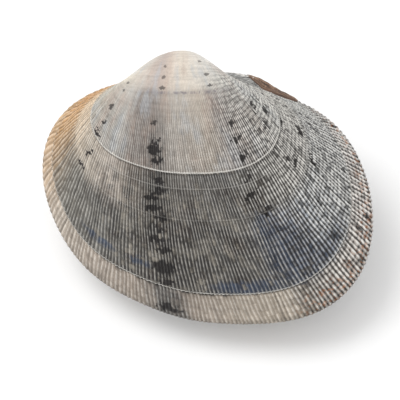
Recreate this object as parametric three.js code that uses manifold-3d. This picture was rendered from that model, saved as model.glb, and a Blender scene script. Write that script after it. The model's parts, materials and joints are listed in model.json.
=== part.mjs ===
// A closed clam: two ribbed shell valves, joined at the back by a springy ligament.
// Each valve is modelled in its own frame, in millimetres: the tip of the beak is the origin, the plane where
// the two valves meet is z = 0, the hinge line is the X axis, the front of the animal is -X and the free edge
// is towards -Y. The finished clam then lies at rest on its right valve, with +Z up.

import * as THREE from 'three';
import { ParametricGeometry } from 'three/addons/geometries/ParametricGeometry.js';
import { mergeVertices } from 'three/addons/utils/BufferGeometryUtils.js';
import Module from 'manifold-3d';

const wasm = await Module();
wasm.setup();

// Outline of the full-grown edge, as a radius about a centre that changes with the angle.
const EDGE_CENTRE_X = 5.0;
const EDGE_CENTRE_Y = -16.7;
const EDGE_RADIUS = 19.35;
const EDGE_OVAL = 3.28;
const EDGE_OVAL_TURN = THREE.MathUtils.degToRad(-17);
const EDGE_EGG = -0.31;
const EDGE_SQUARE = -0.6;
const EDGE_FIVE = 0.24;
const EDGE_FIVE_TURN = THREE.MathUtils.degToRad(16);
const EDGE_SIX = 0.28;
const EDGE_SIX_TURN = THREE.MathUtils.degToRad(28);

// Dips in the back edge: the one that the ligament lies in, and a shallow one next to the beak.
const STRAP_DIP = { depth: 0.5, angle: THREE.MathUtils.degToRad(56), spread: THREE.MathUtils.degToRad(10) };
const BEAK_DIP = { depth: 0.35, angle: THREE.MathUtils.degToRad(85), spread: THREE.MathUtils.degToRad(9) };

// Growth: every earlier edge is the full-grown one, made smaller about the beak and swung round the hinge.
const SWING_RATE = 1.1;
const SWING_FADE = 0.1;
const BEAK_GROWTH = 0.055;
const CHECK_GROWTHS = [0.575, 0.91];
const CHECK_STEP = 0.22;
const CHECK_LENGTH = 0.05;
const CHECK_FADE_Y = 8;

// Wall.
const EDGE_THICKNESS = 0.9;
const WALL_THICKNESS = 1.7;
const EDGE_BEVEL_GROWTH = 0.1;
const CAVITY_GROWTH = 0.36;
const HINGE_PLATE_WIDTH = 4.2;
const HINGE_PLATE_HALF_LENGTH = 7;
const VALVE_GAP = 0.3;

// Hinge teeth: thin blades that fan out below the beak and reach into a shallow pit in the other valve.
const TOOTH_FAN_Y = 4.3;
const TOOTH_FAN_RADIUS = 6.2;
const TOOTH_LENGTH = 1.4;
const TOOTH_THICKNESS = 0.5;
const TOOTH_REACH = 0.9;
const TOOTH_ROOT = 0.3;
const RIGHT_TOOTH_ANGLES = [-20, -2, 16];
const LEFT_TOOTH_ANGLES = [-11, 7, 23];
const PIT_DEPTH = 1.3;
const PIT_SIZE_X = 6.4;
const PIT_SIZE_Y = 2.6;
const PIT_X = 0.3;
const PIT_Y = -1.75;
const PIT_MOUTH = 1;

// Ligament: a leathery strap along the back edge, behind the beaks.
const LIGAMENT_START_X = 8.8;
const LIGAMENT_END_X = 16.9;
const LIGAMENT_HALF_WIDTH = 1.3;
const LIGAMENT_THICKNESS = 0.55;
const LIGAMENT_CLEARANCE = 0.28;

// Rest: the pose in which a closed clam lies steadily, and the small flat that rubbing has worn under it.
const REST_TILT_X = THREE.MathUtils.degToRad(16.4);
const REST_TILT_Y = THREE.MathUtils.degToRad(-5.2);
const WORN_FLAT_DEPTH = 0.12;
const STONE_SIZE = 100;

// Mesh fineness.
const COLUMNS = 60;
const OUTER_ROWS = 15;
const INNER_ROWS = 6;
const LIGAMENT_COLUMNS = 24;
const LIGAMENT_ROWS = 18;
const ROW_SPACING_POWER = 1.15;
const CHECK_ROW_GAP = 0.002;
const MERGE_DISTANCE = 1e-5;

// Steps of the small searches below.
const ANGLE_STEP = 0.001;
const BACK_ANGLE_GUESS = Math.PI / 3;
const BACK_ANGLE_STEPS = 8;
const EARLIEST_BACK_GROWTH = 0.1;
const BACK_GROWTH_STEPS = 24;

function dipAt(angle, dip) {
  const away = Math.acos(Math.cos(angle - dip.angle)) / dip.spread;
  return dip.depth * Math.exp(-(away ** 2));
}

function edgeRadius(angle) {
  const oval = EDGE_OVAL * Math.cos(2 * (angle - EDGE_OVAL_TURN));
  const egg = EDGE_EGG * Math.cos(3 * angle);
  const square = EDGE_SQUARE * Math.sin(4 * angle);
  const five = EDGE_FIVE * Math.cos(5 * (angle - EDGE_FIVE_TURN));
  const six = EDGE_SIX * Math.cos(6 * (angle - EDGE_SIX_TURN));
  const dips = dipAt(angle, STRAP_DIP) + dipAt(angle, BEAK_DIP);
  return EDGE_RADIUS + oval + egg + square + five + six - dips;
}

function edgePoint(angle) {
  const radius = edgeRadius(angle);
  const x = EDGE_CENTRE_X + radius * Math.cos(angle);
  const y = EDGE_CENTRE_Y + radius * Math.sin(angle);
  return new THREE.Vector2(x, y);
}

// The same edge moved inwards, square to itself.
function insetEdgePoint(angle, inset) {
  const along = edgePoint(angle + ANGLE_STEP).sub(edgePoint(angle - ANGLE_STEP)).normalize();
  return edgePoint(angle).add(new THREE.Vector2(-along.y, along.x).multiplyScalar(inset));
}

function swing(growth) {
  return SWING_RATE * (1 - growth ** SWING_FADE) / SWING_FADE;
}

// The shell draws in a little after each pause in growth, except close to the hinge line.
function checkInset(angle, growth) {
  const awayFromHinge = Math.min(-edgePoint(angle).y / CHECK_FADE_Y, 1);
  let inset = 0;
  for (const check of CHECK_GROWTHS) {
    const past = (growth - check) / CHECK_LENGTH;
    if (past >= 0 && past < 1) inset = CHECK_STEP * (1 - past);
  }
  return inset * awayFromHinge;
}

function wallThickness(angle, growth) {
  const bevel = Math.min((1 - growth) / EDGE_BEVEL_GROWTH, 1);
  const wall = THREE.MathUtils.lerp(EDGE_THICKNESS, WALL_THICKNESS, bevel);
  const edge = edgePoint(angle);
  const nearBeak = Math.exp(-((edge.x / HINGE_PLATE_HALF_LENGTH) ** 2));
  const onBack = edge.y > EDGE_CENTRE_Y ? 1 : 0;
  return wall + (HINGE_PLATE_WIDTH - wall) * nearBeak * onBack;
}

// A point on the valve: the edge inset by some millimetres, shrunk to its growth stage and swung.
function valvePoint(angle, growth, inset) {
  const edge = insetEdgePoint(angle, inset / growth).multiplyScalar(growth);
  const turn = swing(growth);
  return new THREE.Vector3(edge.x, edge.y * Math.cos(turn), -edge.y * Math.sin(turn) + VALVE_GAP / 2);
}

// Growth stages from the beak out to the edge, then back in along the inside.
function profileRows() {
  const rows = [];
  for (let i = 0; i <= OUTER_ROWS; i++) {
    const growth = BEAK_GROWTH + (1 - BEAK_GROWTH) * (i / OUTER_ROWS) ** ROW_SPACING_POWER;
    rows.push({ growth, inside: false });
  }
  for (const check of CHECK_GROWTHS) {
    rows.push({ growth: check - CHECK_ROW_GAP, inside: false });
    rows.push({ growth: check, inside: false });
  }
  rows.sort((a, b) => a.growth - b.growth);
  for (let i = 0; i <= INNER_ROWS; i++) {
    const growth = 1 - (1 - CAVITY_GROWTH) * (i / INNER_ROWS);
    rows.push({ growth, inside: true });
  }
  return rows;
}

function rowPoint(row, angle) {
  const inset = row.inside ? wallThickness(angle, row.growth) : checkInset(angle, row.growth);
  return valvePoint(angle, row.growth, inset);
}

function rowCentre(row) {
  const centre = new THREE.Vector3();
  for (let i = 0; i < COLUMNS; i++) {
    centre.add(rowPoint(row, 2 * Math.PI * i / COLUMNS));
  }
  return centre.divideScalar(COLUMNS);
}

// side is 1 for the left valve and -1 for the right valve, which is its mirror image.
function valveGeometry(side) {
  const rows = profileRows();
  const beakCentre = rowCentre(rows[0]);
  const cavityCentre = rowCentre(rows[rows.length - 1]);
  const stacks = rows.length + 1;
  const point = (u, v, target) => {
    const index = Math.round(v * stacks);
    const angle = 2 * Math.PI * (side > 0 ? 1 - u : u);
    if (index === 0) target.copy(beakCentre);
    else if (index === stacks) target.copy(cavityCentre);
    else target.copy(rowPoint(rows[index - 1], angle));
    target.z *= side;
  };
  return new ParametricGeometry(point, COLUMNS, stacks);
}

// A closed mesh with shared corners, ready to be joined or cut.
function toSolid(geometry) {
  const bare = geometry.clone();
  bare.deleteAttribute('normal');
  bare.deleteAttribute('uv');
  const merged = mergeVertices(bare, MERGE_DISTANCE);
  const index = merged.index.array;
  const triangles = [];
  for (let i = 0; i < index.length; i += 3) {
    const [a, b, c] = [index[i], index[i + 1], index[i + 2]];
    if (a !== b && b !== c && c !== a) triangles.push(a, b, c);
  }
  return new wasm.Manifold(new wasm.Mesh({
    numProp: 3,
    vertProperties: new Float32Array(merged.attributes.position.array),
    triVerts: new Uint32Array(triangles),
  }));
}

function toGeometry(solid) {
  const mesh = solid.getMesh();
  const geometry = new THREE.BufferGeometry();
  geometry.setAttribute('position', new THREE.BufferAttribute(mesh.vertProperties, 3));
  geometry.setIndex(new THREE.BufferAttribute(mesh.triVerts, 1));
  geometry.computeVertexNormals();
  return geometry;
}

function boxSolid(size, centre, turn = 0) {
  const geometry = new THREE.BoxGeometry(size.x, size.y, size.z);
  geometry.rotateZ(turn);
  geometry.translate(centre.x, centre.y, centre.z);
  return toSolid(geometry);
}

// One tooth: it stands on the floor of its own valve's pit and reaches past the meeting plane.
function toothSolid(side, angleInDegrees) {
  const angle = THREE.MathUtils.degToRad(angleInDegrees);
  const height = PIT_DEPTH + TOOTH_REACH + TOOTH_ROOT;
  const x = TOOTH_FAN_RADIUS * Math.sin(angle);
  const y = TOOTH_FAN_Y - TOOTH_FAN_RADIUS * Math.cos(angle);
  const z = side * (height / 2 - TOOTH_REACH);
  const size = new THREE.Vector3(TOOTH_THICKNESS, TOOTH_LENGTH, height);
  return boxSolid(size, new THREE.Vector3(x, y, z), angle);
}

function addHinge(valve, side, toothAngles) {
  const pitHeight = PIT_DEPTH + PIT_MOUTH;
  const pitSize = new THREE.Vector3(PIT_SIZE_X, PIT_SIZE_Y, pitHeight);
  const pitCentre = new THREE.Vector3(PIT_X, PIT_Y, side * (PIT_DEPTH - pitHeight / 2));
  let solid = valve.subtract(boxSolid(pitSize, pitCentre));
  for (const angle of toothAngles) {
    solid = solid.add(toothSolid(side, angle));
  }
  return solid;
}

// Rubs a small flat on whatever part of the solid is lowest once the clam is laid down.
function wearFlat(solid, layDown) {
  const down = new THREE.Vector3(0, 0, -1).applyQuaternion(layDown.clone().invert());
  const vertices = solid.getMesh().vertProperties;
  let reach = 0;
  for (let i = 0; i < vertices.length; i += 3) {
    const along = down.x * vertices[i] + down.y * vertices[i + 1] + down.z * vertices[i + 2];
    reach = Math.max(reach, along);
  }
  const stone = new THREE.BoxGeometry(STONE_SIZE, STONE_SIZE, STONE_SIZE);
  stone.applyQuaternion(layDown.clone().invert());
  const centre = down.clone().multiplyScalar(reach - WORN_FLAT_DEPTH + STONE_SIZE / 2);
  stone.translate(centre.x, centre.y, centre.z);
  return solid.subtract(toSolid(stone));
}

// The angle at which the back part of the full-grown edge has this X.
function backAngle(x) {
  let angle = BACK_ANGLE_GUESS;
  for (let i = 0; i < BACK_ANGLE_STEPS; i++) {
    angle = Math.acos(THREE.MathUtils.clamp((x - EDGE_CENTRE_X) / edgeRadius(angle), -1, 1));
  }
  return angle;
}

// Height of the valve's back wall at this X, this far out from the meeting plane.
function backWallY(x, z) {
  let late = 1;
  let early = EARLIEST_BACK_GROWTH;
  for (let i = 0; i < BACK_GROWTH_STEPS; i++) {
    const growth = (late + early) / 2;
    if (valvePoint(backAngle(x / growth), growth, 0).z < z) late = growth;
    else early = growth;
  }
  return valvePoint(backAngle(x / late), late, 0).y;
}

// A strap that is draped over the back walls of both valves, thickest along its middle.
function ligamentGeometry() {
  const halfLength = (LIGAMENT_END_X - LIGAMENT_START_X) / 2;
  const point = (u, v, target) => {
    const along = 2 * v - 1;
    const taper = Math.sqrt(Math.max(1 - along ** 2, 0));
    const across = u < 0.5 ? 1 - 4 * u : 4 * u - 3;
    const x = (LIGAMENT_START_X + LIGAMENT_END_X) / 2 + halfLength * along;
    const z = LIGAMENT_HALF_WIDTH * taper * Math.sin(across * Math.PI / 2);
    const rise = u < 0.5 ? 0 : LIGAMENT_THICKNESS * taper * Math.cos(across * Math.PI / 2);
    target.set(x, backWallY(x, Math.abs(z)) + LIGAMENT_CLEARANCE + rise, z);
  };
  return new ParametricGeometry(point, LIGAMENT_COLUMNS, LIGAMENT_ROWS);
}

const layDown = new THREE.Quaternion().setFromEuler(new THREE.Euler(REST_TILT_X, REST_TILT_Y, 0));

const leftValve = addHinge(toSolid(valveGeometry(1)), 1, LEFT_TOOTH_ANGLES);
const rightValve = addHinge(toSolid(valveGeometry(-1)), -1, RIGHT_TOOTH_ANGLES);
const ligament = toSolid(ligamentGeometry());

const shellLook = { roughness: 0.55, metalness: 0 };
const upperLook = new THREE.MeshStandardMaterial({ color: 0xb9a68c, ...shellLook });
const lowerLook = new THREE.MeshStandardMaterial({ color: 0xb2a087, ...shellLook });
const ligamentLook = new THREE.MeshStandardMaterial({ color: 0x5f4630, roughness: 0.7, metalness: 0 });

function namedMesh(name, solid, look) {
  const mesh = new THREE.Mesh(toGeometry(solid), look);
  mesh.name = name;
  return mesh;
}

const clam = new THREE.Group();
clam.add(namedMesh('left_valve', leftValve, upperLook));
clam.add(namedMesh('right_valve', wearFlat(rightValve, layDown), lowerLook));
clam.add(namedMesh('ligament', ligament, ligamentLook));
clam.quaternion.copy(layDown);

// The origin is under the middle of the clam, on the surface that it lies on.
clam.updateMatrixWorld(true);
const extent = new THREE.Box3().setFromObject(clam, true);
const middle = extent.getCenter(new THREE.Vector3());
clam.position.set(-middle.x, -middle.y, -extent.min.z);

const part = new THREE.Group();
part.add(clam);

export default part;
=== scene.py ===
# %% [markdown]
# A closed clam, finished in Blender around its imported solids. The solids give the size, the hinge and the
# two bodies, and everything here keeps to them within a fraction of a millimetre. The work goes in this
# order: camera and light, the growth rule that shapes both valves, the valves, the strap that joins them,
# and then the finishes.

# %% Load the solids
import json
import math
from types import SimpleNamespace

import bmesh
import bpy
import numpy as np
from mathutils import Matrix, Vector


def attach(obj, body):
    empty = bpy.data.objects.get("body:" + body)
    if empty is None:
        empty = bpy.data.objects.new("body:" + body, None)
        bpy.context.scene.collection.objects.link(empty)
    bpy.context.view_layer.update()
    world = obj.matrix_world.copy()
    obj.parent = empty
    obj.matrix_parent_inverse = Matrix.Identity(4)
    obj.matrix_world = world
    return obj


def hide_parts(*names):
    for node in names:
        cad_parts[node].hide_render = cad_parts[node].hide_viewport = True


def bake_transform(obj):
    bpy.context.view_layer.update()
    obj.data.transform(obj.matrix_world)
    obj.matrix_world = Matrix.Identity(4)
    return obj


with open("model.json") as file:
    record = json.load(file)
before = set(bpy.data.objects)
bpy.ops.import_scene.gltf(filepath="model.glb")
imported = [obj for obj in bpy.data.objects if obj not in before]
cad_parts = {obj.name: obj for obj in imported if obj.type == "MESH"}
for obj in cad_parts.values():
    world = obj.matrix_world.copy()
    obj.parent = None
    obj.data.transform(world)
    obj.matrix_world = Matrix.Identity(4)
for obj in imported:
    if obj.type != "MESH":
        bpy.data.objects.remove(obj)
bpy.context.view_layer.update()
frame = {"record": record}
MM = 0.001
scene = bpy.context.scene

# %% [markdown]
# The camera looks down on the clam from the side of its free edge, from far off and with a long lens, as
# a product picture is taken. It is rolled a little, so the hinge line runs level across the view while
# the clam lies askew. A camera's own axes are easiest to set as three turns: about the vertical, down
# from the zenith, and about the line of sight.

# %% Camera
CAMERA_TURN = math.radians(17.5)
CAMERA_TILT = math.radians(30.1)
CAMERA_ROLL = math.radians(-14.15)
CAMERA_DISTANCE = 373 * MM
CAMERA_AIM = Vector((0, 0, 10 * MM))
CAMERA_ASIDE = Vector((-0.74 * MM, -1.59 * MM, CAMERA_DISTANCE))
CAMERA_LENS = 256.4
CAMERA_SENSOR = 36
NEAREST_SEEN = 10 * MM

turn = Matrix.Rotation(CAMERA_TURN, 4, "Z") @ Matrix.Rotation(CAMERA_TILT, 4, "X")
turn = turn @ Matrix.Rotation(CAMERA_ROLL, 4, "Z")
camera_data = bpy.data.cameras.new("camera")
camera_data.lens = CAMERA_LENS
camera_data.sensor_width = CAMERA_SENSOR
camera_data.clip_start = NEAREST_SEEN
camera = bpy.data.objects.new("camera", camera_data)
scene.collection.objects.link(camera)
camera.matrix_world = Matrix.Translation(CAMERA_AIM) @ turn @ Matrix.Translation(CAMERA_ASIDE)
scene.camera = camera
print("camera at", [round(v / MM) for v in camera.matrix_world.translation], "mm")

# %% [markdown]
# Soft light from above shows a ribbed surface well only if some of it comes low from one side, because
# ribs lit square on vanish. So there is one large lamp high up and to the left, a second one low at the
# left, and a pale world that fills the shadows. The floor is plain and pale.

# %% Light and floor
WORLD_STRENGTH = 0.95
FLOOR_HALF_SIZE = 2


def soft_lamp(name, place, size, power):
    data = bpy.data.lights.new(name, "AREA")
    data.size = size
    data.energy = power
    lamp = bpy.data.objects.new(name, data)
    scene.collection.objects.link(lamp)
    lamp.location = place
    lamp.rotation_euler = (CAMERA_AIM - Vector(place)).to_track_quat("-Z", "Y").to_euler()
    return lamp


soft_lamp("key lamp", (-0.16, 0.06, 0.50), 0.25, 0.85)
soft_lamp("side lamp", (-0.42, 0.10, 0.16), 0.15, 0.35)

world = bpy.data.worlds.new("studio")
world.use_nodes = True
world.node_tree.nodes["Background"].inputs["Color"].default_value = (1, 1, 1, 1)
world.node_tree.nodes["Background"].inputs["Strength"].default_value = WORLD_STRENGTH
scene.world = world
scene.view_settings.view_transform = "Standard"

floor_mesh = bmesh.new()
bmesh.ops.create_grid(floor_mesh, x_segments=1, y_segments=1, size=FLOOR_HALF_SIZE)
floor_data = bpy.data.meshes.new("floor")
floor_mesh.to_mesh(floor_data)
floor_mesh.free()
floor = bpy.data.objects.new("floor", floor_data)
scene.collection.objects.link(floor)

# %% [markdown]
# A clam grows by adding to its edge. Every earlier edge was the same outline, only smaller, and it has
# since swung up about the hinge line. So one rule gives the whole valve: take a point of the full-grown
# edge, shrink it towards the beak by its growth stage, and swing it. Lines of one growth stage are the
# growth rings, and lines of one place on the edge are the ribs. The numbers repeat those of the solid
# valves, except that the gap between the closed valves is drawn finer.

# %% The growth rule
EDGE_CENTRE = np.array((5.0, -16.7))
EDGE_RADIUS = 19.35
EDGE_OVAL = 3.28
EDGE_OVAL_TURN = math.radians(-17)
EDGE_EGG = -0.31
EDGE_SQUARE = -0.6
EDGE_FIVE = 0.24
EDGE_FIVE_TURN = math.radians(16)
EDGE_SIX = 0.28
EDGE_SIX_TURN = math.radians(28)
STRAP_DIP = (0.5, math.radians(56), math.radians(10))
BEAK_DIP = (0.35, math.radians(85), math.radians(9))
SWING_RATE = 1.1
SWING_FADE = 0.1
BEAK_GROWTH = 0.055
CAVITY_GROWTH = 0.36
VALVE_GAP = 0.06
ANGLE_STEP = 0.001


def edge_point(angle):
    """Point of the full-grown edge, in millimetres from the beak."""
    radius = EDGE_RADIUS + EDGE_OVAL * np.cos(2 * (angle - EDGE_OVAL_TURN))
    radius = radius + EDGE_EGG * np.cos(3 * angle) + EDGE_SQUARE * np.sin(4 * angle)
    radius = radius + EDGE_FIVE * np.cos(5 * (angle - EDGE_FIVE_TURN))
    radius = radius + EDGE_SIX * np.cos(6 * (angle - EDGE_SIX_TURN))
    for depth, middle, spread in (STRAP_DIP, BEAK_DIP):
        away = np.arccos(np.cos(angle - middle)) / spread
        radius = radius - depth * np.exp(-(away**2))
    return EDGE_CENTRE + np.stack((radius * np.cos(angle), radius * np.sin(angle)), -1)


def inset_edge_point(angle, inset):
    """The same point moved inwards, square to the edge."""
    along = edge_point(angle + ANGLE_STEP) - edge_point(angle - ANGLE_STEP)
    along = along / np.linalg.norm(along, axis=-1, keepdims=True)
    inwards = np.stack((-along[..., 1], along[..., 0]), -1)
    return edge_point(angle) + inwards * np.asarray(inset)[..., None]


def valve_point(angle, growth, inset):
    """Point of a valve in its own frame: beak at the origin, meeting plane at z = 0, hinge along X."""
    edge = inset_edge_point(angle, inset / growth) * np.asarray(growth)[..., None]
    swing = SWING_RATE * (1 - growth**SWING_FADE) / SWING_FADE
    y = edge[..., 1] * np.cos(swing)
    z = VALVE_GAP / 2 - edge[..., 1] * np.sin(swing)
    return np.stack((edge[..., 0], y, z), -1)


# %% [markdown]
# The clam's own frame is tipped as it lies at rest, and its hinge runs through the record's joint. The
# tip repeats the solid's two rest angles, and the shift comes from the joint's place, so nothing is
# fitted by eye.

# %% From the valve's frame to the row's frame
REST_TILT_X = math.radians(16.4)
REST_TILT_Y = math.radians(-5.2)
HINGE_ABOVE_BEAK = 0.6
LOWER, UPPER = "lower_valve", "upper_valve"

lay_down = Matrix.Rotation(REST_TILT_X, 3, "X") @ Matrix.Rotation(REST_TILT_Y, 3, "Y")
hinge = next(j for j in frame["record"]["behaviour"]["joints"] if j["name"] == "valve_hinge")
beak_place = Vector(hinge["pos_m"]) - lay_down @ Vector((0, HINGE_ABOVE_BEAK * MM, 0))
TO_ROW = np.array(lay_down)
BEAK = np.array(beak_place)


def to_row(points):
    return points @ TO_ROW.T * MM + BEAK


print("beak at", np.round(BEAK / MM, 2), "mm")

# %% [markdown]
# Places on the edge are told by the share of the way round it, from the hinge past the rear, the free
# edge and the front. Ribs crowd towards the rear and spread out towards the front, as on the real shell.
# The mesh's columns follow the ribs, a fixed number to each, so every rib has the same shape and none is
# jagged.

# %% Rib spacing along the edge
RIBS = 183
COLUMNS_PER_RIB = 5
COLUMNS = RIBS * COLUMNS_PER_RIB
REAR_STRETCH = 0.15
CROWD_PLACE = 0.32
CROWD_RIBS = 9.5
START_ANGLE = math.radians(95)
WALK_POINTS = 6001
FINE_POINTS = 4001

walk_angles = START_ANGLE - np.linspace(0, 2 * math.pi, WALK_POINTS)
walk_steps = np.linalg.norm(np.diff(edge_point(walk_angles), axis=0), axis=1)
walk = np.concatenate(((0,), np.cumsum(walk_steps)))
walk = walk / walk[-1]
density = 1 - REAR_STRETCH * np.sin(2 * math.pi * walk)
edge_shares = np.concatenate(((0,), np.cumsum((density[1:] + density[:-1]) / 2 * np.diff(walk))))
edge_shares = edge_shares / edge_shares[-1]


def angle_at(across):
    """Angle of the edge point that lies this share of the way round."""
    return np.interp(across, edge_shares, walk_angles)


def plain_rib_count(across):
    """Ribs passed on the way round the edge."""
    crowding = np.sin(2 * math.pi * (across - CROWD_PLACE)) + math.sin(2 * math.pi * CROWD_PLACE)
    return across * RIBS + CROWD_RIBS * crowding


fine_places = np.linspace(0, 1, FINE_POINTS)
columns_in_ribs = np.arange(COLUMNS + 1) / COLUMNS_PER_RIB
COLUMN_PLACES = np.interp(columns_in_ribs, plain_rib_count(fine_places), fine_places)
print("edge is", round(float(np.sum(walk_steps)), 1), "mm round, with", RIBS, "ribs")

# %% [markdown]
# The relief is what fingers feel: ribs that grow with the shell and fade towards the beak and the hinge,
# the step after each long pause in growth, and slow swells between them. Ribs are never quite alike, so
# each has its own height from a seeded draw.

# %% Relief of the outer face
RIB_HEIGHT = 0.13
RIB_ROUNDNESS = 0.7
RIBS_BEGIN, RIBS_FULL = 0.22, 0.75
REAR_RIB_EXTRA = 0.9
LOWEST_RIB, HIGHEST_RIB = 0.45, 1.35
RIB_SEED = 7
RIB_WOBBLE = 0.14
WOBBLE_OVER_GROWTH = (31, 17)
WOBBLE_ACROSS = (63, -151)
SWELL_HEIGHT = 0.05
SWELLS_BEGIN, SWELLS_FULL = 0.2, 0.5
# Growth stage of each pause, height of its step in millimetres, and the growth over which the step evens out.
CHECKS = ((0.581, 0.14, 0.05), (0.705, 0.04, 0.03), (0.91, 0.22, 0.05))
CHECK_FADE_Y = 8
rib_heights = np.random.default_rng(RIB_SEED).uniform(LOWEST_RIB, HIGHEST_RIB, RIBS)


def smooth(value, low, high):
    t = np.clip((value - low) / (high - low), 0, 1)
    return t * t * (3 - 2 * t)


def hinge_fade(across):
    """1 over the free edge, 0 along the hinge."""
    return smooth(across, 0.03, 0.10) * smooth(1 - across, 0.05, 0.13)


def rear_share(across):
    """1 over the rear, where the ribs stand highest."""
    return smooth(across, 0.06, 0.16) * (1 - smooth(across, 0.24, 0.36))


def rib_count(across, growth):
    """The same count, with each rib wandering a little as it grows."""
    wobble = 0
    for over_growth, over_across in zip(WOBBLE_OVER_GROWTH, WOBBLE_ACROSS):
        wobble = wobble + np.sin(growth * over_growth + across * over_across)
    return plain_rib_count(across) + RIB_WOBBLE * wobble


def check_inset(across, growth):
    """How far the shell draws in after each pause in growth."""
    reach = np.clip(-edge_point(angle_at(across))[..., 1] / CHECK_FADE_Y, 0, 1)
    inset = np.zeros(np.broadcast(across, growth).shape)
    for start, step, length in CHECKS:
        past = (growth - start) / length
        inset = inset + np.where((past >= 0) & (past < 1), step * (1 - past), 0)
    return inset * reach


def relief(across, growth):
    """Height over the smooth valve, in millimetres."""
    rib = rib_count(across, growth)
    crest = 0.5 + 0.5 * np.cos(2 * math.pi * rib)
    own = rib_heights[np.round(rib).astype(int) % RIBS]
    height = RIB_HEIGHT * smooth(growth, RIBS_BEGIN, RIBS_FULL) * hinge_fade(across)
    height = height * (1 + REAR_RIB_EXTRA * rear_share(across))
    ribs = height * own * (crest**RIB_ROUNDNESS - 0.5)
    swell = SWELL_HEIGHT * np.sin(growth * 61) * np.sin(growth * 23 + across * 5)
    return ribs + swell * smooth(growth, SWELLS_BEGIN, SWELLS_FULL)


# %% [markdown]
# Inside, the wall is thin at the edge and thickens to a plate under the beak, which carries the hinge
# teeth. Two muscles and the mantle leave their marks there. The muscle scars are shallow dents, which is
# how a thumb finds them.

# %% Wall thickness and the inner face
EDGE_THICKNESS = 0.9
WALL_THICKNESS = 1.7
EDGE_BEVEL_GROWTH = 0.1
PLATE_WIDTH = 4.2
PLATE_HALF_LENGTH = 7
SCAR_DEPTH = 0.12
SCAR_RIM = 0.75
# Place along the edge, growth stage, half width and half length of each muscle scar.
SCARS = ((0.13, 0.78, 0.035, 0.09), (0.80, 0.76, 0.028, 0.09))


def wall_thickness(across, growth):
    """Wall in millimetres: thin at the edge, a thick plate by the beak, a little less in the scars."""
    edge = edge_point(angle_at(across))
    bevel = np.minimum((1 - growth) / EDGE_BEVEL_GROWTH, 1)
    wall = EDGE_THICKNESS + (WALL_THICKNESS - EDGE_THICKNESS) * bevel
    near_beak = np.exp(-((edge[..., 0] / PLATE_HALF_LENGTH) ** 2)) * (edge[..., 1] > EDGE_CENTRE[1])
    scars = 0
    for place, stage, width, length in SCARS:
        off = np.hypot((across - place) / width, (growth - stage) / length)
        scars = scars + SCAR_DEPTH * (1 - smooth(off, SCAR_RIM, 1))
    return wall + (PLATE_WIDTH - wall) * near_beak - scars


# %% [markdown]
# Each valve is one closed skin. It could be sculpted from a sphere, but a grid laid on the growth rule
# keeps every rib and ring exact: the grid's width goes round the edge, and its length runs from the beak
# out over the outer face, over the lip and back in along the inside. Merging doubles then sews the seam
# and closes both ends. The grid's own map is kept as the growth map, which all the finishes read.

# %% Rows of the grid
OUTER_ROWS = 68
OUTER_ROW_SPACING = 1.05
CHECK_ROW_SHIFT = 0.0015
LIP_SHARES = (0.05, 0.11, 0.18, 0.32, 0.5, 0.62, 0.70, 0.90)
INNER_ROWS = 14
PIT_DEPTH = 1.2
PIT_HALF_X, PIT_HALF_Y = 3.2, 1.3
PIT_X, PIT_Y = 0.3, -1.75
PIT_WALL = 0.3
TINY = 1e-12

outer = BEAK_GROWTH + (1 - BEAK_GROWTH) * np.linspace(0, 1, OUTER_ROWS) ** OUTER_ROW_SPACING
extra = [stage + shift for stage, _, _ in CHECKS for shift in (-CHECK_ROW_SHIFT, CHECK_ROW_SHIFT)]
outer = np.sort(np.concatenate((outer, extra)))
inner = 1 - (1 - CAVITY_GROWTH) * np.linspace(0, 1, INNER_ROWS)
print(len(outer) + len(LIP_SHARES) + len(inner), "rows of", COLUMNS, "columns")


def normals_of(points):
    """Outward normals of a sheet of points that is closed round its columns."""
    along_columns = np.roll(points, -1, axis=1) - np.roll(points, 1, axis=1)
    along_rows = np.gradient(points, axis=0)
    normal = np.cross(along_columns, along_rows)
    return normal / np.maximum(np.linalg.norm(normal, axis=-1, keepdims=True), TINY)


def hinge_pit(points):
    """How deep the pit for the teeth is at these points of the hinge plate."""
    off_x = np.abs(points[..., 0] - PIT_X)
    off_y = np.abs(points[..., 1] - PIT_Y)
    in_x = 1 - smooth(off_x, PIT_HALF_X - PIT_WALL, PIT_HALF_X)
    in_y = 1 - smooth(off_y, PIT_HALF_Y - PIT_WALL, PIT_HALF_Y)
    return PIT_DEPTH * in_x * in_y


def valve_sheet():
    """All rows of one valve, pole to pole, with each point's growth stage and 1 where it is inside."""
    across = COLUMN_PLACES[:-1]
    angle = angle_at(across)
    stages = outer[:, None] + 0 * across
    face = valve_point(angle, stages, check_inset(across, stages))
    face = face + normals_of(face) * relief(across, stages)[..., None]
    face[..., 2] = np.maximum(face[..., 2], VALVE_GAP / 2)
    full = np.ones(COLUMNS)
    lip_width = wall_thickness(across, full)
    inner_edge = valve_point(angle, full, lip_width)
    lip = np.array([face[-1] + (inner_edge - face[-1]) * share for share in LIP_SHARES])
    lip[..., 2] += hinge_pit(lip)
    inner_stages = inner[:, None] + 0 * across
    inside = valve_point(angle, inner_stages, wall_thickness(across, inner_stages))
    sheet = np.concatenate((face, lip, inside))
    growth = np.concatenate((stages, np.ones((len(LIP_SHARES), COLUMNS)), inner_stages))
    marked = np.zeros_like(growth)
    marked[len(outer) + 1 :] = 1
    return sheet, growth, marked


# %% [markdown]
# The hinge teeth are three thin blades on each valve, fanned out below the beak. They reach past the
# meeting plane between the teeth of the other valve, so the valves can't slide on each other. Each one is
# a box with rounded edges, and its root is sunk in the floor of the pit.

# %% Hinge teeth
TOOTH_FAN_Y = 4.3
TOOTH_FAN_RADIUS = 6.2
TOOTH_LENGTH = 1.4
TOOTH_THICKNESS = 0.5
TOOTH_REACH = 0.85
TOOTH_ROOT = 0.3
TOOTH_ROUNDING = 0.12
TOOTH_SEGMENTS = 3
TOOTH_ANGLES = {1: (-11, 7, 23), -1: (-20, -2, 16)}


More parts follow.
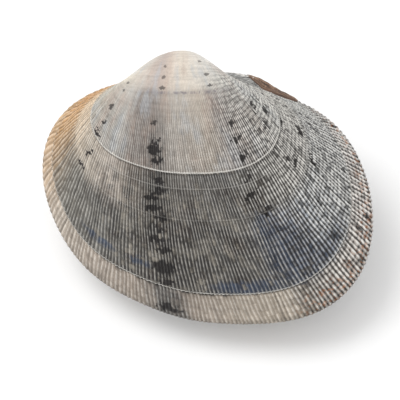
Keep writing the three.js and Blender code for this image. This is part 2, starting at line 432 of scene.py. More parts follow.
def tooth_places(side):
    """Where a unit cube goes to be each tooth of this valve: 1 is the upper valve, -1 the lower one."""
    places = []
    height = PIT_DEPTH + TOOTH_REACH + TOOTH_ROOT
    to_row_matrix = Matrix.Translation(beak_place) @ lay_down.to_4x4() @ Matrix.Scale(MM, 4)
    for degrees in TOOTH_ANGLES[side]:
        angle = math.radians(degrees)
        x = TOOTH_FAN_RADIUS * math.sin(angle)
        y = TOOTH_FAN_Y - TOOTH_FAN_RADIUS * math.cos(angle)
        stand = Matrix.Translation((x, y, side * (height / 2 - TOOTH_REACH))) @ Matrix.Rotation(angle, 4, "Z")
        size = Matrix.Diagonal((TOOTH_THICKNESS, TOOTH_LENGTH, height, 1))
        places.append(to_row_matrix @ stand @ size)
    return places


def set_tooth(bm, inside, place):
    """A rounded blade in the skin's own mesh, marked as inside."""
    made = bmesh.ops.create_cube(bm, size=1, matrix=place)
    edges = list({edge for vert in made["verts"] for edge in vert.link_edges})
    for vert in made["verts"]:
        vert[inside] = 1
    rounding = TOOTH_ROUNDING * MM
    bmesh.ops.bevel(
        bm, geom=edges, offset=rounding, affect="EDGES", segments=TOOTH_SEGMENTS, profile=0.5, material=-1
    )


# %% [markdown]
# The skin itself starts as a flat grid. Each vertex is told by its column and row, which say which point
# of the sheet it goes to, and the first and last rows are drawn together into poles. The clam has lain on
# one spot, so whatever of the lower valve would reach below the floor is worn flat.

# %% Make a valve's mesh
MERGE_DISTANCE = 1e-9


def grid_skin(name, sheet, places, growth, marked, flip, teeth=()):
    """A closed skin whose rows follow the sheet, with a pole at each end, and teeth set into it."""
    rows, columns = growth.shape
    poles = (sheet[0].mean(0), sheet[-1].mean(0))
    bm = bmesh.new()
    growth_map = bm.loops.layers.uv.new("growth_map")
    inside = bm.verts.layers.float.new("inside")
    bmesh.ops.create_grid(bm, x_segments=columns, y_segments=rows + 1, size=0.5, calc_uvs=False)
    cells = {}
    for vert in bm.verts:
        column = round((vert.co.x + 0.5) * columns)
        row = round((vert.co.y + 0.5) * (rows + 1))
        cells[vert] = (column, row)
    for vert, (column, row) in cells.items():
        if row == 0:
            vert.co = poles[0]
        elif row == rows + 1:
            vert.co = poles[1]
        else:
            vert.co = sheet[row - 1, column % columns]
        vert[inside] = marked[min(max(row - 1, 0), rows - 1), 0]
    for face in bm.faces:
        for loop in face.loops:
            column, row = cells[loop.vert]
            loop[growth_map].uv = (places[column], growth[min(max(row - 1, 0), rows - 1), 0])
    bmesh.ops.remove_doubles(bm, verts=bm.verts, dist=MERGE_DISTANCE)
    if flip:
        bmesh.ops.reverse_faces(bm, faces=bm.faces)
    for place in teeth:
        set_tooth(bm, inside, place)
    data = bpy.data.meshes.new(name)
    bm.to_mesh(data)
    bm.free()
    data.shade_smooth()
    piece = bpy.data.objects.new(name, data)
    scene.collection.objects.link(piece)
    return piece


def volume_of(piece):
    """Signed volume, which is positive when the faces point out, and the number of open edges."""
    bm = bmesh.new()
    bm.from_mesh(piece.data)
    volume = bm.calc_volume(signed=True)
    open_edges = sum(1 for edge in bm.edges if not edge.is_manifold)
    bm.free()
    return volume, open_edges


def make_valve(name, side):
    """One valve where it lies: side 1 is the upper one, side -1 its mirror image below."""
    sheet, growth, marked = valve_sheet()
    sheet = sheet * np.array((1, 1, side))
    points = to_row(sheet)
    points[..., 2] = np.maximum(points[..., 2], 0)
    piece = grid_skin(name, points, COLUMN_PLACES, growth, marked, side < 0, tooth_places(side))
    volume, open_edges = volume_of(piece)
    print(name, len(piece.data.polygons), "faces,", round(volume / MM**3), "mm3,", open_edges, "open edges")
    return piece


upper = make_valve("upper_shell", 1)
lower = make_valve("lower_shell", -1)

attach(upper, UPPER)
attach(lower, LOWER)
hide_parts("left_valve")
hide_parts("right_valve")

# %% [markdown]
# Behind the beaks a horny strap joins the two valves. It is laid down in layers as the shell grows, so it
# is fibrous along its length, and it lies draped over the back walls. It is one closed skin too: its grid
# goes round the strap's section and runs along it. How far back the wall is under each point is found by
# halving the growth stage, because the growth rule has no inverse.

# %% The strap
STRAP_START_X, STRAP_END_X = 9.4, 16.5
STRAP_HALF_WIDTH = 1.15
STRAP_THICKNESS = 0.58
STRAP_FRONT_SHARE = 0.2
STRAP_BACK_Y = -1
STRAP_CLEARANCE = 0.08
STRAP_COLUMNS, STRAP_ROWS = 96, 90
FIBRE_HEIGHT = 0.07
FIBRE_SHARE, LAYER_SHARE = 0.6, 0.35
BACK_ANGLES = np.radians(np.linspace(20, 110, 400))
EARLIEST_GROWTH = 0.1
SEARCH_STEPS = 26


def back_point(x, growth):
    """Point of the back wall at this X, on the edge of this growth stage."""
    angle = np.interp(-x / growth, -edge_point(BACK_ANGLES)[:, 0], BACK_ANGLES)
    return valve_point(angle, growth, np.zeros_like(angle))


def back_wall_y(x, z):
    """Y of the back wall at this X and this far out from the meeting plane."""
    early, late = np.full(x.shape, EARLIEST_GROWTH), np.ones(x.shape)
    for _ in range(SEARCH_STEPS):
        growth = (early + late) / 2
        below = back_point(x, growth)[..., 2] < z
        late = np.where(below, growth, late)
        early = np.where(below, early, growth)
    return back_point(x, late)[..., 1]


def strap_sheet():
    """Rows of the strap from end to end, and each point's share of the length."""
    round_share = (np.arange(STRAP_COLUMNS) / STRAP_COLUMNS)[None]
    along = np.cos(np.linspace(0, math.pi, STRAP_ROWS + 2)[1:-1])[:, None] * np.ones_like(round_share)
    taper = np.sqrt(1 - along**2)
    outer_side = round_share >= 0.5
    side_to_side = np.where(outer_side, 4 * round_share - 3, 1 - 4 * round_share) * np.ones_like(along)
    x = (STRAP_START_X + STRAP_END_X) / 2 + (STRAP_END_X - STRAP_START_X) / 2 * along
    fullness = STRAP_FRONT_SHARE + (1 - STRAP_FRONT_SHARE) * smooth(along, -1, 0.5)
    z = STRAP_HALF_WIDTH * taper * fullness * np.sin(side_to_side * math.pi / 2)
    dome = taper * np.cos(side_to_side * math.pi / 2)
    fibres = np.sin(side_to_side * 19 + np.sin(x * 1.3)) + 0.6 * np.sin(side_to_side * 41 + x * 0.7)
    layers = np.sin(x * 5.2 + side_to_side * 1.5)
    texture = FIBRE_HEIGHT * (FIBRE_SHARE * fibres + LAYER_SHARE * layers)
    rise = (STRAP_THICKNESS * fullness + texture) * dome
    y = back_wall_y(x, np.abs(z)) + STRAP_CLEARANCE + np.where(outer_side, rise, 0)
    return np.stack((x, y, z), -1), (1 + along) / 2


strap_points, strap_length = strap_sheet()
strap_places = np.linspace(0, 1, STRAP_COLUMNS + 1)
nowhere_inside = np.zeros_like(strap_length)
strap = grid_skin("strap", to_row(strap_points), strap_places, strap_length, nowhere_inside, True)
strap_volume, strap_open = volume_of(strap)
print("strap", round(strap_volume / MM**3, 1), "mm3,", strap_open, "open edges")
strap_middle = (STRAP_START_X + STRAP_END_X) / 2
strap_low = to_row(np.array((strap_middle, STRAP_BACK_Y, -STRAP_HALF_WIDTH)))
strap_high = to_row(np.array((strap_middle, STRAP_BACK_Y, STRAP_HALF_WIDTH)))
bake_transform(strap)
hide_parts("ligament")

# %% [markdown]
# Every finish below is a sum of patterns, and patterns are arithmetic. This small class lets the
# arithmetic be written as arithmetic: a wire is one output of a node, and adding or multiplying wires
# adds the Math nodes. All other nodes come from one method that takes the node's kind, its settings and
# its inputs.

# %% A wire that does sums
class Wire:
    """One output of a node, in sums as a number would be."""

    def __init__(self, paint, socket):
        self.paint = paint
        self.socket = socket

    def __add__(self, other):
        return self.paint.math("ADD", self, other)

    def __sub__(self, other):
        return self.paint.math("SUBTRACT", self, other)

    def __rsub__(self, other):
        return self.paint.math("SUBTRACT", other, self)

    def __mul__(self, other):
        return self.paint.math("MULTIPLY", self, other)

    def __pow__(self, other):
        return self.paint.math("POWER", self, other)

    __radd__ = __add__
    __rmul__ = __mul__


BAND_CORE = 0.35


class Paint:
    """One material and the ways to add nodes to it."""

    def __init__(self, name):
        self.material = bpy.data.materials.new(name)
        self.material.use_nodes = True
        self.tree = self.material.node_tree
        self.shader = self.tree.nodes["Principled BSDF"]

    def node(self, kind, settings=None, inputs=None, output=0):
        made = self.tree.nodes.new(kind)
        for key, value in (settings or {}).items():
            if key == "stops":
                self.set_stops(made.color_ramp, value)
            else:
                setattr(made, key, value)
        for key, value in (inputs or {}).items():
            self.feed(made.inputs[key], value)
        return Wire(self, made.outputs[output])

    def feed(self, socket, value):
        if isinstance(value, Wire):
            self.tree.links.new(value.socket, socket)
        else:
            socket.default_value = value

    def set_stops(self, ramp, stops):
        while len(ramp.elements) < len(stops):
            ramp.elements.new(1.0)
        for element, (position, colour) in zip(ramp.elements, stops):
            element.position = position
            element.color = colour

    def math(self, operation, *values):
        return self.node("ShaderNodeMath", {"operation": operation}, dict(enumerate(values)))

    def vector(self, x, y, z=0.0):
        return self.node("ShaderNodeCombineXYZ", None, {0: x, 1: y, 2: z})

    def smooth(self, value, low, high):
        """0 below low, 1 above high, and a smooth rise between them."""
        inputs = {0: value, 1: low, 2: high}
        return self.node("ShaderNodeMapRange", {"interpolation_type": "SMOOTHSTEP"}, inputs)

    def band(self, value, centre, half_width):
        """1 near the centre and 0 past the half width."""
        off = self.math("ABSOLUTE", value - centre)
        return 1 - self.smooth(off, BAND_CORE * half_width, half_width)

    def noise(self, vector, scale=1.0, detail=2.0, roughness=0.5):
        inputs = {"Vector": vector, "Scale": scale, "Detail": detail, "Roughness": roughness}
        return self.node("ShaderNodeTexNoise", None, inputs)

    def mix(self, factor, first, second, blend="MIX"):
        settings = {"data_type": "RGBA", "blend_type": blend}
        return self.node("ShaderNodeMix", settings, {0: factor, 6: first, 7: second}, 2)


def srgb(red, green, blue):
    """A colour as a painter's 0 to 255 values, made linear."""
    levels = (value / 255 for value in (red, green, blue))
    return tuple(v / 12.92 if v <= 0.04045 else ((v + 0.055) / 1.055) ** 2.4 for v in levels) + (1.0,)


# %% [markdown]
# The mantle's edge lays down colour as the shell grows, so each stretch between two pauses has colours of
# its own, strung along the edge. That is how they are mixed here: one ramp along the edge for each
# stretch, and the growth stage picks between the ramps. Places run from the hinge round the rear, the
# free edge and the front, and back to the hinge.

# %% Colours of each stretch of growth
BEAK_COLOURS = (
    (0.10, srgb(212, 210, 205)), (0.28, srgb(226, 223, 216)), (0.35, srgb(208, 202, 193)),
    (0.42, srgb(206, 196, 183)), (0.46, srgb(200, 188, 176)), (0.51, srgb(174, 160, 152)),
    (0.56, srgb(184, 176, 168)), (0.64, srgb(192, 184, 172)), (0.72, srgb(216, 208, 192)),
    (0.82, srgb(222, 212, 192)),
)
YOUNG_COLOURS = (
    (0.10, srgb(226, 224, 219)), (0.25, srgb(226, 223, 217)), (0.30, srgb(204, 198, 191)),
    (0.345, srgb(166, 158, 153)),
    (0.38, srgb(182, 172, 160)), (0.46, srgb(172, 165, 157)), (0.51, srgb(136, 127, 121)),
    (0.56, srgb(138, 130, 124)), (0.60, srgb(176, 172, 166)), (0.70, srgb(178, 171, 161)),
    (0.84, srgb(206, 198, 180)),
)
MIDDLE_COLOURS = (
    (0.08, srgb(222, 220, 214)), (0.26, srgb(206, 202, 196)), (0.30, srgb(186, 183, 176)),
    (0.335, srgb(112, 110, 106)), (0.39, srgb(92, 90, 88)), (0.46, srgb(108, 104, 99)),
    (0.50, srgb(66, 63, 60)),
    (0.55, srgb(112, 103, 95)), (0.60, srgb(188, 177, 166)), (0.68, srgb(192, 181, 166)),
    (0.80, srgb(226, 200, 168)), (0.86, srgb(226, 186, 142)),
)
DARK_COLOURS = (
    (0.08, srgb(228, 228, 226)), (0.24, srgb(210, 211, 210)), (0.295, srgb(182, 188, 194)),
    (0.325, srgb(84, 99, 124)), (0.35, srgb(66, 76, 94)), (0.38, srgb(84, 82, 79)),
    (0.46, srgb(56, 53, 50)),
    (0.50, srgb(52, 49, 47)), (0.54, srgb(68, 65, 61)), (0.60, srgb(100, 98, 94)),
    (0.68, srgb(122, 118, 110)),
    (0.72, srgb(138, 126, 110)), (0.79, srgb(206, 166, 120)), (0.86, srgb(222, 170, 114)),
)
LAST_COLOURS = (
    (0.08, srgb(216, 214, 211)), (0.14, srgb(238, 234, 230)), (0.24, srgb(238, 230, 224)),
    (0.30, srgb(196, 188, 180)),
    (0.34, srgb(134, 126, 118)), (0.365, srgb(188, 176, 160)), (0.47, srgb(160, 148, 136)),
    (0.50, srgb(112, 108, 104)), (0.54, srgb(156, 144, 132)), (0.60, srgb(166, 154, 142)),
    (0.68, srgb(186, 174, 160)),
    (0.82, srgb(214, 176, 132)),
)

# %% [markdown]
# Dark blots follow one another along three rays, where a spot of the mantle kept flaring up, and a few
# more lie scattered at the rear. They are listed: place along the edge, growth stage, half width and half
# length. A few bluish clouds are listed the same way.

# %% Blots and clouds
MAIN_RAY = (
    (0.489, 0.255, 0.008, 0.006), (0.487, 0.300, 0.006, 0.006), (0.488, 0.338, 0.010, 0.005),
    (0.503, 0.448, 0.006, 0.007), (0.494, 0.495, 0.008, 0.006), (0.500, 0.521, 0.014, 0.013),
    (0.495, 0.552, 0.009, 0.009), (0.490, 0.605, 0.008, 0.009), (0.492, 0.632, 0.009, 0.009),
    (0.505, 0.655, 0.010, 0.007), (0.506, 0.684, 0.012, 0.007), (0.490, 0.706, 0.010, 0.008),
    (0.497, 0.738, 0.009, 0.008), (0.503, 0.772, 0.010, 0.009), (0.492, 0.797, 0.008, 0.007),
    (0.498, 0.850, 0.015, 0.015), (0.492, 0.890, 0.007, 0.006), (0.498, 0.977, 0.012, 0.012),
)
REAR_RAY = (
    (0.342, 0.230, 0.009, 0.004), (0.338, 0.290, 0.008, 0.004), (0.341, 0.333, 0.007, 0.004),
    (0.328, 0.456, 0.005, 0.008), (0.334, 0.502, 0.008, 0.007), (0.336, 0.552, 0.006, 0.008),
    (0.345, 0.610, 0.005, 0.006), (0.347, 0.650, 0.006, 0.008), (0.341, 0.704, 0.010, 0.006),
    (0.250, 0.440, 0.006, 0.008), (0.256, 0.462, 0.007, 0.008), (0.262, 0.520, 0.006, 0.010),
    (0.232, 0.500, 0.008, 0.010), (0.270, 0.640, 0.005, 0.008), (0.262, 0.665, 0.006, 0.008),
    (0.218, 0.590, 0.007, 0.010), (0.205, 0.680, 0.006, 0.012), (0.235, 0.730, 0.005, 0.010),
)
FRONT_RAY = (
    (0.662, 0.335, 0.010, 0.005), (0.655, 0.370, 0.009, 0.004), (0.672, 0.452, 0.011, 0.010),
    (0.668, 0.515, 0.007, 0.006), (0.680, 0.552, 0.008, 0.005), (0.675, 0.568, 0.014, 0.005),
    (0.667, 0.636, 0.006, 0.007), (0.675, 0.656, 0.006, 0.008), (0.677, 0.708, 0.012, 0.005),
)
BLUE_CLOUDS = (
    (0.332, 0.83, 0.026, 0.09), (0.300, 0.88, 0.040, 0.035), (0.400, 0.892, 0.045, 0.022),
    (0.535, 0.86, 0.016, 0.014), (0.600, 0.86, 0.034, 0.014), (0.345, 0.74, 0.012, 0.05),
)


FAR_OFF = 10.0


def off_spots(paint, across, growth, spots):
    """How far off the nearest listed spot is: 0 at its middle and 1 on its rim."""
    nearest = FAR_OFF
    place = paint.vector(across, growth)
    for spot_across, spot_growth, half_width, half_length in spots:
        middle = (spot_across, spot_growth, 0)
        stretch = (1 / half_width, 1 / half_length, 0)
        off = paint.node("ShaderNodeVectorMath", {"operation": "SUBTRACT"}, {0: place, 1: middle})
        off = paint.node("ShaderNodeVectorMath", {"operation": "MULTIPLY"}, {0: off, 1: stretch})
        distance = paint.node("ShaderNodeVectorMath", {"operation": "LENGTH"}, {0: off}, "Value")
        nearest = paint.math("MINIMUM", distance, nearest)
    return nearest


# %% [markdown]
# The outer finish is built step by step: the colours of each stretch, clouds and blots, then a shade for
# every rib and bead, then painted shade in the grooves, pale crests that are partly wear and partly painted
# highlight, and the pale lips of old edges with painted shadow and dirt under them. First come the
# patterns that those steps share. The ribs are counted by the same rule as the mesh's, so colour and
# relief agree. The fine threads between them are too small for the mesh, and are left to colour and bump.

# %% Patterns that follow the growth
THREADS = 62
TURN = 2 * math.pi


def own_value(paint, *counts):
    """A steady random value for each rib, or for each bead of a rib."""
    return paint.node("ShaderNodeTexWhiteNoise", None, {"Vector": paint.vector(*counts)})


def growth_patterns(paint, shift):
    """The places, counts and noises that a valve's finish is made of. The shift makes the valves differ."""
    p = SimpleNamespace()
    growth_map = paint.node("ShaderNodeUVMap", {"uv_map": "growth_map"})
    p.across = paint.node("ShaderNodeSeparateXYZ", None, {0: growth_map})
    p.growth = Wire(paint, p.across.socket.node.outputs[1])
    p.inside = paint.node("ShaderNodeAttribute", {"attribute_name": "inside"}, None, "Fac")
    place = paint.node("ShaderNodeTexCoord", None, None, "Object")
    place = paint.node("ShaderNodeVectorMath", {"operation": "SCALE"}, {0: place, "Scale": 1 / MM})
    p.place = paint.node("ShaderNodeVectorMath", {"operation": "ADD"}, {0: place, 1: (shift, 0, 0)})

    # Slow wander, so that no ring, ray or blot is drawn with a ruler.
    p.wander = paint.noise(p.place, 0.55, 3) - 0.5
    p.ragged = paint.noise(p.place, 2.6, 3) - 0.5

    # Ribs and threads. Crest is 1 on top of a rib, and ring is 1 on top of a thread.
    wobble = 0
    for over_growth, over_across in zip(WOBBLE_OVER_GROWTH, WOBBLE_ACROSS):
        wobble = paint.math("SINE", p.growth * over_growth + p.across * over_across) + wobble
    crowding = paint.math("SINE", (p.across - CROWD_PLACE) * TURN) + math.sin(CROWD_PLACE * TURN)
    rib = p.across * RIBS + crowding * CROWD_RIBS + wobble * RIB_WOBBLE
    thread = p.growth * THREADS + p.wander * 1.6 + p.ragged * 0.5
    p.crest = paint.math("COSINE", rib * TURN) * 0.5 + 0.5
    p.ring = paint.math("COSINE", thread * TURN) * 0.5 + 0.5

    # Steady random values, and noises drawn out along the ribs or along the rings.
    rib_number = paint.math("FLOOR", rib + 0.5)
    thread_number = paint.math("FLOOR", thread + 0.5)
    p.bead_own = own_value(paint, rib_number, thread_number, shift)
    p.rib_own = own_value(paint, rib_number, shift)
    p.groove_own = own_value(paint, paint.math("FLOOR", rib), shift)
    p.dashes = paint.noise(paint.vector(rib, thread * 0.45, shift), 1.0, 3, 0.7)
    p.streaks = paint.noise(paint.vector(rib * 0.55, p.growth * 7, shift), 1.0, 4, 0.65)
    p.bands = paint.noise(paint.vector(p.across * 4, p.growth * 52, shift), 1.0, 3, 0.6)
    p.tints = paint.noise(paint.vector(p.across * 24, p.growth * 6, shift + 9), 1.0, 3, 0.6)
    p.mottle = paint.noise(paint.vector(p.across * 46, p.growth * 20, shift), 1.0, 4, 0.65)
    p.patches = paint.noise(paint.vector(p.across * 19, p.growth * 13, shift + 5), 1.0, 3, 0.6)
    p.fleck = p.mottle + (p.bead_own - 0.5) * 0.30 + (p.dashes - 0.5) * 0.5

    # Parts of the shell: the rear, the stretch with full ribs, and the dark middle.
    p.rear = paint.smooth(p.across, 0.02, 0.08) * (1 - paint.smooth(p.across, 0.29, 0.40))
    p.sculpted = paint.smooth(p.growth + p.rear * 0.10, 0.24, 0.58)
    p.smooth_part = 1 - p.sculpted
    dark_stages = paint.smooth(p.growth, 0.56, 0.66) * (1 - paint.smooth(p.growth, 0.90, 0.915))
    p.dark_zone = dark_stages * paint.smooth(p.across, 0.28, 0.34) * (1 - paint.smooth(p.across, 0.56, 0.70))
    return p


# %% [markdown]
# The ground colour passes from one stretch's ramp to the next at each pause. Every rib and bead looks the
# ramps up a little off its true place, so the borders come out ragged, as they do where cells laid down
# the colour one by one. The smooth young part also gets warm and cool streaks.

# %% The ground colour
# Growth stage of each change, the growth that it takes, and the colours after it.
STRETCHES = (
    (0.345, 0.05, YOUNG_COLOURS), (0.581, 0.010, MIDDLE_COLOURS),
    (0.715, 0.06, DARK_COLOURS), (0.914, 0.012, LAST_COLOURS),
)
WARM_TINT, WARM_STRENGTH = srgb(176, 154, 140), 0.40
COOL_TINT, COOL_STRENGTH = srgb(172, 180, 188), 0.34


def ground_colour(paint, p):
    p.stage = p.growth + p.wander * 0.012 + p.ragged * 0.008 + (p.bead_own - 0.5) * 0.012
    p.ray = p.across + p.wander * 0.010 + p.ragged * 0.008 + (p.rib_own - 0.5) * 0.010
    colour = paint.node("ShaderNodeValToRGB", {"stops": BEAK_COLOURS}, {0: p.ray})
    for start, rise, colours in STRETCHES:
        next_colour = paint.node("ShaderNodeValToRGB", {"stops": colours}, {0: p.ray})
        reached = paint.smooth(p.stage, start - rise / 2, start + rise / 2)
        colour = paint.mix(reached, colour, next_colour)
    young = paint.smooth(p.growth, 0.10, 0.30) * (1 - paint.smooth(p.growth, 0.56, 0.60))
    warm = paint.smooth(p.tints, 0.50, 0.66) * young
    cool = (1 - paint.smooth(p.tints, 0.36, 0.48)) * young
    colour = paint.mix(warm * WARM_STRENGTH, colour, WARM_TINT)
    return paint.mix(cool * COOL_STRENGTH, colour, COOL_TINT)


# %% [markdown]
# The dark middle is mottled: broad brown and dun patches first, then fine black and dun flecks, each of
# them a bead or a short dash. The clouds and blots lie over it.

# %% Mottling, clouds and blots
BROWN = srgb(58, 50, 46)
DUN = srgb(190, 182, 168)
SOOT = srgb(36, 34, 35)
BLUE = srgb(58, 72, 94)
BLOT = srgb(27, 24, 25)
MAIN_RAY_PLACE, MAIN_RAY_HALF_WIDTH = 0.495, 0.030


def mottled(paint, p, colour):
    colour = paint.mix(paint.smooth(p.patches, 0.50, 0.62) * p.dark_zone * 0.75, colour, BROWN)
    colour = paint.mix((1 - paint.smooth(p.patches, 0.34, 0.48)) * p.dark_zone * 0.24, colour, DUN)
    colour = paint.mix(paint.smooth(p.fleck, 0.50, 0.68) * p.dark_zone * 0.75, colour, SOOT)
    return paint.mix((1 - paint.smooth(p.fleck, 0.24, 0.42)) * p.dark_zone * 0.50, colour, DUN)


def blotted(paint, p, colour):
    p.clouds = 1 - paint.smooth(off_spots(paint, p.ray, p.stage, BLUE_CLOUDS), 0.4, 1.25)
    colour = paint.mix(p.clouds * paint.smooth(p.fleck, 0.14, 0.50) * 0.85, colour, BLUE)
    jitter = (p.bead_own - 0.5) * p.sculpted
    spot_across = p.across + p.ragged * 0.018 + jitter * 0.012
    spot_growth = p.growth + p.ragged * 0.014 + jitter * 0.014
    off = off_spots(paint, spot_across, spot_growth, MAIN_RAY + REAR_RAY + FRONT_RAY)
    p.spots = 1 - paint.smooth(off, 0.90, 1.35)
    colour = paint.mix(p.spots * (0.60 + p.sculpted * 0.36), colour, BLOT)
    shadow = paint.band(p.across + p.ragged * 0.02, MAIN_RAY_PLACE, MAIN_RAY_HALF_WIDTH)
    shadow = shadow * paint.smooth(p.growth, 0.36, 0.55) * paint.smooth(p.fleck, 0.36, 0.60)
    return paint.mix(shadow * 0.75, colour, BLOT)


# %% [markdown]
# No two beads are quite alike, and nothing makes a surface look more real than that. So the colour is
# multiplied by a shade that sums a value for each bead and rib, dashes and streaks along the ribs, bands
# along the rings, and grain on the smooth part, where the fine ribs and threads also get a faint painted
# shade: paler on their tops and darker between them.

# %% A shade for every rib and bead
def shaded(paint, p, colour):
    uneven = (p.bead_own - 0.5) * 0.9 + (p.rib_own - 0.5) * 0.5 + (p.dashes - 0.5) * 1.5
    shade = 1 + p.sculpted * (0.36 + p.rear * 0.74) * uneven
    shade = shade + p.sculpted * (p.streaks - 0.5) * 0.8
    shade = shade + (paint.noise(p.place, 5.0, 4, 0.7) - 0.5) * 0.30
    # On the smooth part, the ring and crest terms are a faint painted shade of the fine ribs and threads.
    grain = (p.ring - 0.5) * 0.07 + (p.crest - 0.5) * 0.10 + (paint.noise(p.place, 8.0, 3, 0.7) - 0.5) * 0.5
    shade = shade + grain * p.smooth_part + (p.bands - 0.5) * 0.60
    shade = shade + p.smooth_part * (paint.noise(p.place, 1.3, 4, 0.7) - 0.5) * 0.5
    return paint.mix(1.0, colour, paint.vector(shade, shade, shade), "MULTIPLY")


# %% [markdown]
# The grooves and the gaps between the beads are painted dark, as painted shade: strongest at the rear and
# weakest in the last, quiet stretch. The crests are painted pale, partly as chalky wear and partly as a
# painted highlight on the bead tops, but less so where a blot or a cloud has stained the shell through.

# %% Painted shade in the grooves, wear and painted highlight on the crests
# GROOVE is the dark of the painted shade in the grooves and under old lips, BEAD the pale of the crests.
GROOVE = srgb(40, 36, 34)
BEAD = srgb(232, 230, 224)
DEEPEST_GROOVE_SHADE = 0.93


def groove_shade_and_worn_highlit_crests(paint, p, colour):
    # Painted shade: the grooves and the gaps between the beads are darkened.
    groove = (1 - p.crest) ** 1.8 * (0.45 + p.groove_own * 0.75)
    between = (1 - p.ring) ** 2 * (0.25 + p.rear * 0.65)
    quiet = paint.smooth(p.growth, 0.90, 0.93) * paint.smooth(p.across, 0.35, 0.42)
    quiet = quiet * (1 - paint.smooth(p.across, 0.80, 0.90))
    front = paint.smooth(p.across, 0.58, 0.66)
    depth = 0.42 + p.rear * 0.52 + front * 0.16 - quiet * 0.14
    groove_shade = p.sculpted * (groove + between * (0.4 + p.dashes * 0.8)) * depth
    colour = paint.mix(paint.math("MINIMUM", groove_shade, DEEPEST_GROOVE_SHADE), colour, GROOVE)
    clear_of_blots = 1 - p.spots * 0.9
    # Painted highlight, partly chalky wear: the crests and bead tops are made paler.
    worn_and_highlit = p.crest ** 1.5 * (0.55 + p.ring * 0.45) * paint.smooth(p.dashes + p.bead_own * 0.25, 0.42, 0.74)
    worn_and_highlit = worn_and_highlit * p.sculpted * clear_of_blots * (1 - p.clouds * 0.5)
    colour = paint.mix(worn_and_highlit * (0.34 + p.rear * 0.66), colour, BEAD)
    # Painted highlight, partly wear: the tops of the ribs in the dark middle are made paler.
    rubbed_and_highlit = p.crest ** 5 * p.dark_zone * clear_of_blots * paint.smooth(p.dashes, 0.34, 0.66)
    return paint.mix(rubbed_and_highlit * 0.34, colour, DUN)


# %% [markdown]
# Where growth paused, the old edge shows as a pale lip, with a dark band under it that is partly dirt and
# partly painted shadow of the lip. The first pause is only a thin, patchy line. Rust collects in specks
# along the free edge at the rear.

# %% Old edges and rust
PALE_LIP = srgb(236, 233, 226)
FIRST_PAUSE_COLOUR = srgb(112, 106, 112)
RUST = srgb(176, 112, 62)
# Growth stage, half width and strength of each line.
CHECK_LINES = ((0.581, 0.0036, 0.70), (0.910, 0.0030, 0.70), (0.705, 0.0022, 0.10), (0.622, 0.0022, 0.16))
FIRST_PAUSE, FIRST_PAUSE_HALF_WIDTH = 0.354, 0.006


def edged(paint, p, colour):
    line_stage = p.growth + p.ragged * 0.003
    reach = paint.smooth(p.across, 0.13, 0.20) * (1 - paint.smooth(p.across, 0.78, 0.86))
    reach = reach * (0.4 + p.streaks * 1.1)
    for start, half_width, strength in CHECK_LINES:
        lip = paint.band(line_stage, start - half_width * 0.6, half_width)
        # Under each lip a dark band, partly dirt and partly painted shadow of the lip.
        under = paint.band(line_stage, start + half_width * 1.1, half_width)
        colour = paint.mix(under * reach * 0.45 * strength, colour, GROOVE)
        colour = paint.mix(lip * reach * strength, colour, PALE_LIP)
    pause = paint.band(p.growth + p.ragged * 0.010, FIRST_PAUSE, FIRST_PAUSE_HALF_WIDTH)
    pause = pause * paint.band(p.across, 0.42, 0.20) * paint.smooth(p.streaks, 0.35, 0.65)
    colour = paint.mix(pause * 0.75, colour, FIRST_PAUSE_COLOUR)
    rim = paint.smooth(p.growth, 0.93, 0.97) * (1 - paint.smooth(p.across, 0.33, 0.38))
    rim = rim * paint.smooth(p.across, 0.10, 0.15)
    specks = paint.smooth(paint.noise(p.place, 2.2, 2), 0.52, 0.64)
    return paint.mix(rim * specks * 0.45, colour, RUST)


# %% [markdown]
# The inside is chalk white, with cream clouds and a faint purple stain at the rear. The mantle was fixed
# along a line that still shows, and outside that line the lining is glassier.

# %% The lining
CHALK = srgb(246, 243, 236)
PURPLE_STAIN = srgb(150, 122, 140)
CREAM = srgb(240, 222, 190)
MANTLE_MARK = srgb(196, 186, 170)
MANTLE_LINE, MANTLE_HALF_WIDTH = 0.83, 0.012


def lining_colour(paint, p):
    mantle_line = paint.band(p.growth + p.wander * 0.02, MANTLE_LINE, MANTLE_HALF_WIDTH)
    stain = paint.band(p.across + p.wander * 0.06, 0.20, 0.14) * paint.smooth(p.growth, 0.55, 0.95)
    cream = paint.smooth(paint.noise(p.place, 0.30, 3), 0.45, 0.75)
    lining = paint.mix(stain * 0.45, CHALK, PURPLE_STAIN)
    lining = paint.mix(cream * 0.35, lining, CREAM)
    return paint.mix(mantle_line * 0.40, lining, MANTLE_MARK)


# %% [markdown]
# Colour, roughness and a fine bump come together here. The ribs themselves are in the mesh, and the bump
# only adds what is finer: beads, the first faint rings and a grain.

# %% The shell finish
SPECULAR = 0.35
BUMP_STRENGTH, BUMP_DEPTH = 0.8, 0.14 * MM


def shell_finish(name, shift):
    paint = Paint(name)
    p = growth_patterns(paint, shift)
    colour = ground_colour(paint, p)
    for step in (mottled, blotted, shaded, groove_shade_and_worn_highlit_crests, edged):
        colour = step(paint, p, colour)
    colour = paint.mix(p.inside, colour, lining_colour(paint, p))

    outer_roughness = 0.68 - p.crest * p.sculpted * 0.10 + (p.mottle - 0.5) * 0.2
    inner_roughness = 0.42 - paint.smooth(p.growth, 0.82, 0.86) * 0.18
    roughness = outer_roughness + (inner_roughness - outer_roughness) * p.inside

    beads = p.crest * 0.8 + p.ring * 0.18 + p.crest * p.ring * (0.2 + p.bead_own * 0.5)
    relief_height = beads * p.sculpted + p.ring * p.smooth_part * 0.12
    grain = paint.noise(p.place, 7.0, 4, 0.65) * 0.5 + p.dashes * p.sculpted * 0.5
    height = relief_height * (1 - p.inside) + grain
    bump_inputs = {"Strength": BUMP_STRENGTH, "Distance": BUMP_DEPTH, "Height": height}
    bump = paint.node("ShaderNodeBump", None, bump_inputs)

    paint.feed(paint.shader.inputs["Base Color"], colour)
    paint.feed(paint.shader.inputs["Roughness"], roughness)
    paint.feed(paint.shader.inputs["Normal"], bump)
    paint.feed(paint.shader.inputs["Specular IOR Level"], SPECULAR)
    print(name, "has", len(paint.tree.nodes), "nodes")
    return paint.material


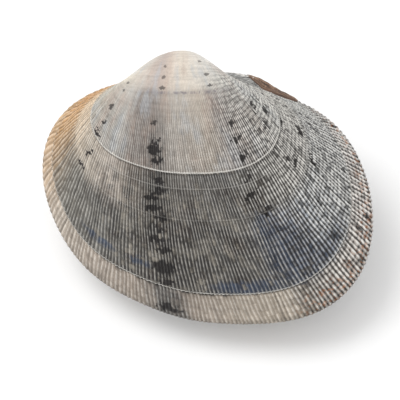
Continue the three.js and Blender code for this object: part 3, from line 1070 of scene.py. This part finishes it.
LOWER_SHIFT = 37.0
upper.data.materials.append(shell_finish("upper shell", 0.0))
lower.data.materials.append(shell_finish("lower shell", LOWER_SHIFT))

# %% [markdown]
# The strap is dark horn that dries to brown. Streaks run along it, with paler dry fibres along its crown.

# %% The strap finish
HORN, DRY_HORN, DARK_HORN = srgb(104, 74, 54), srgb(164, 134, 110), srgb(38, 27, 21)
CROWN_PLACE, CROWN_HALF_WIDTH = 0.75, 0.20
STRAP_BUMP_STRENGTH, STRAP_BUMP_DEPTH = 0.7, 0.10 * MM


def strap_finish():
    paint = Paint("strap horn")
    growth_map = paint.node("ShaderNodeUVMap", {"uv_map": "growth_map"})
    around = paint.node("ShaderNodeSeparateXYZ", None, {0: growth_map})
    length = Wire(paint, around.socket.node.outputs[1])
    streaks = paint.noise(paint.vector(around * 46, length * 3.5), 1.0, 4, 0.65)
    layers = paint.noise(paint.vector(around * 4, length * 34), 1.0, 3, 0.6)
    crown = paint.band(around, CROWN_PLACE, CROWN_HALF_WIDTH)
    dry = crown * paint.smooth(streaks + (layers - 0.5) * 0.4, 0.44, 0.66)
    colour = paint.mix(paint.smooth(streaks, 0.36, 0.60), DARK_HORN, HORN)
    colour = paint.mix(dry * 0.85, colour, DRY_HORN)
    height = streaks + layers * 0.4
    bump_inputs = {"Strength": STRAP_BUMP_STRENGTH, "Distance": STRAP_BUMP_DEPTH, "Height": height}
    bump = paint.node("ShaderNodeBump", None, bump_inputs)
    paint.feed(paint.shader.inputs["Base Color"], colour)
    paint.feed(paint.shader.inputs["Roughness"], 0.42 + layers * 0.3)
    paint.feed(paint.shader.inputs["Normal"], bump)
    return paint.material


strap.data.materials.append(strap_finish())

# %% [markdown]
# The floor stays plain, so that nothing on it draws the eye.

# %% Floor finish
FLOOR_GREY = (0.93, 0.93, 0.93, 1)
FLOOR_ROUGHNESS = 0.9

floor_paint = Paint("floor")
floor_paint.feed(floor_paint.shader.inputs["Base Color"], FLOOR_GREY)
floor_paint.feed(floor_paint.shader.inputs["Roughness"], FLOOR_ROUGHNESS)
floor.data.materials.append(floor_paint.material)
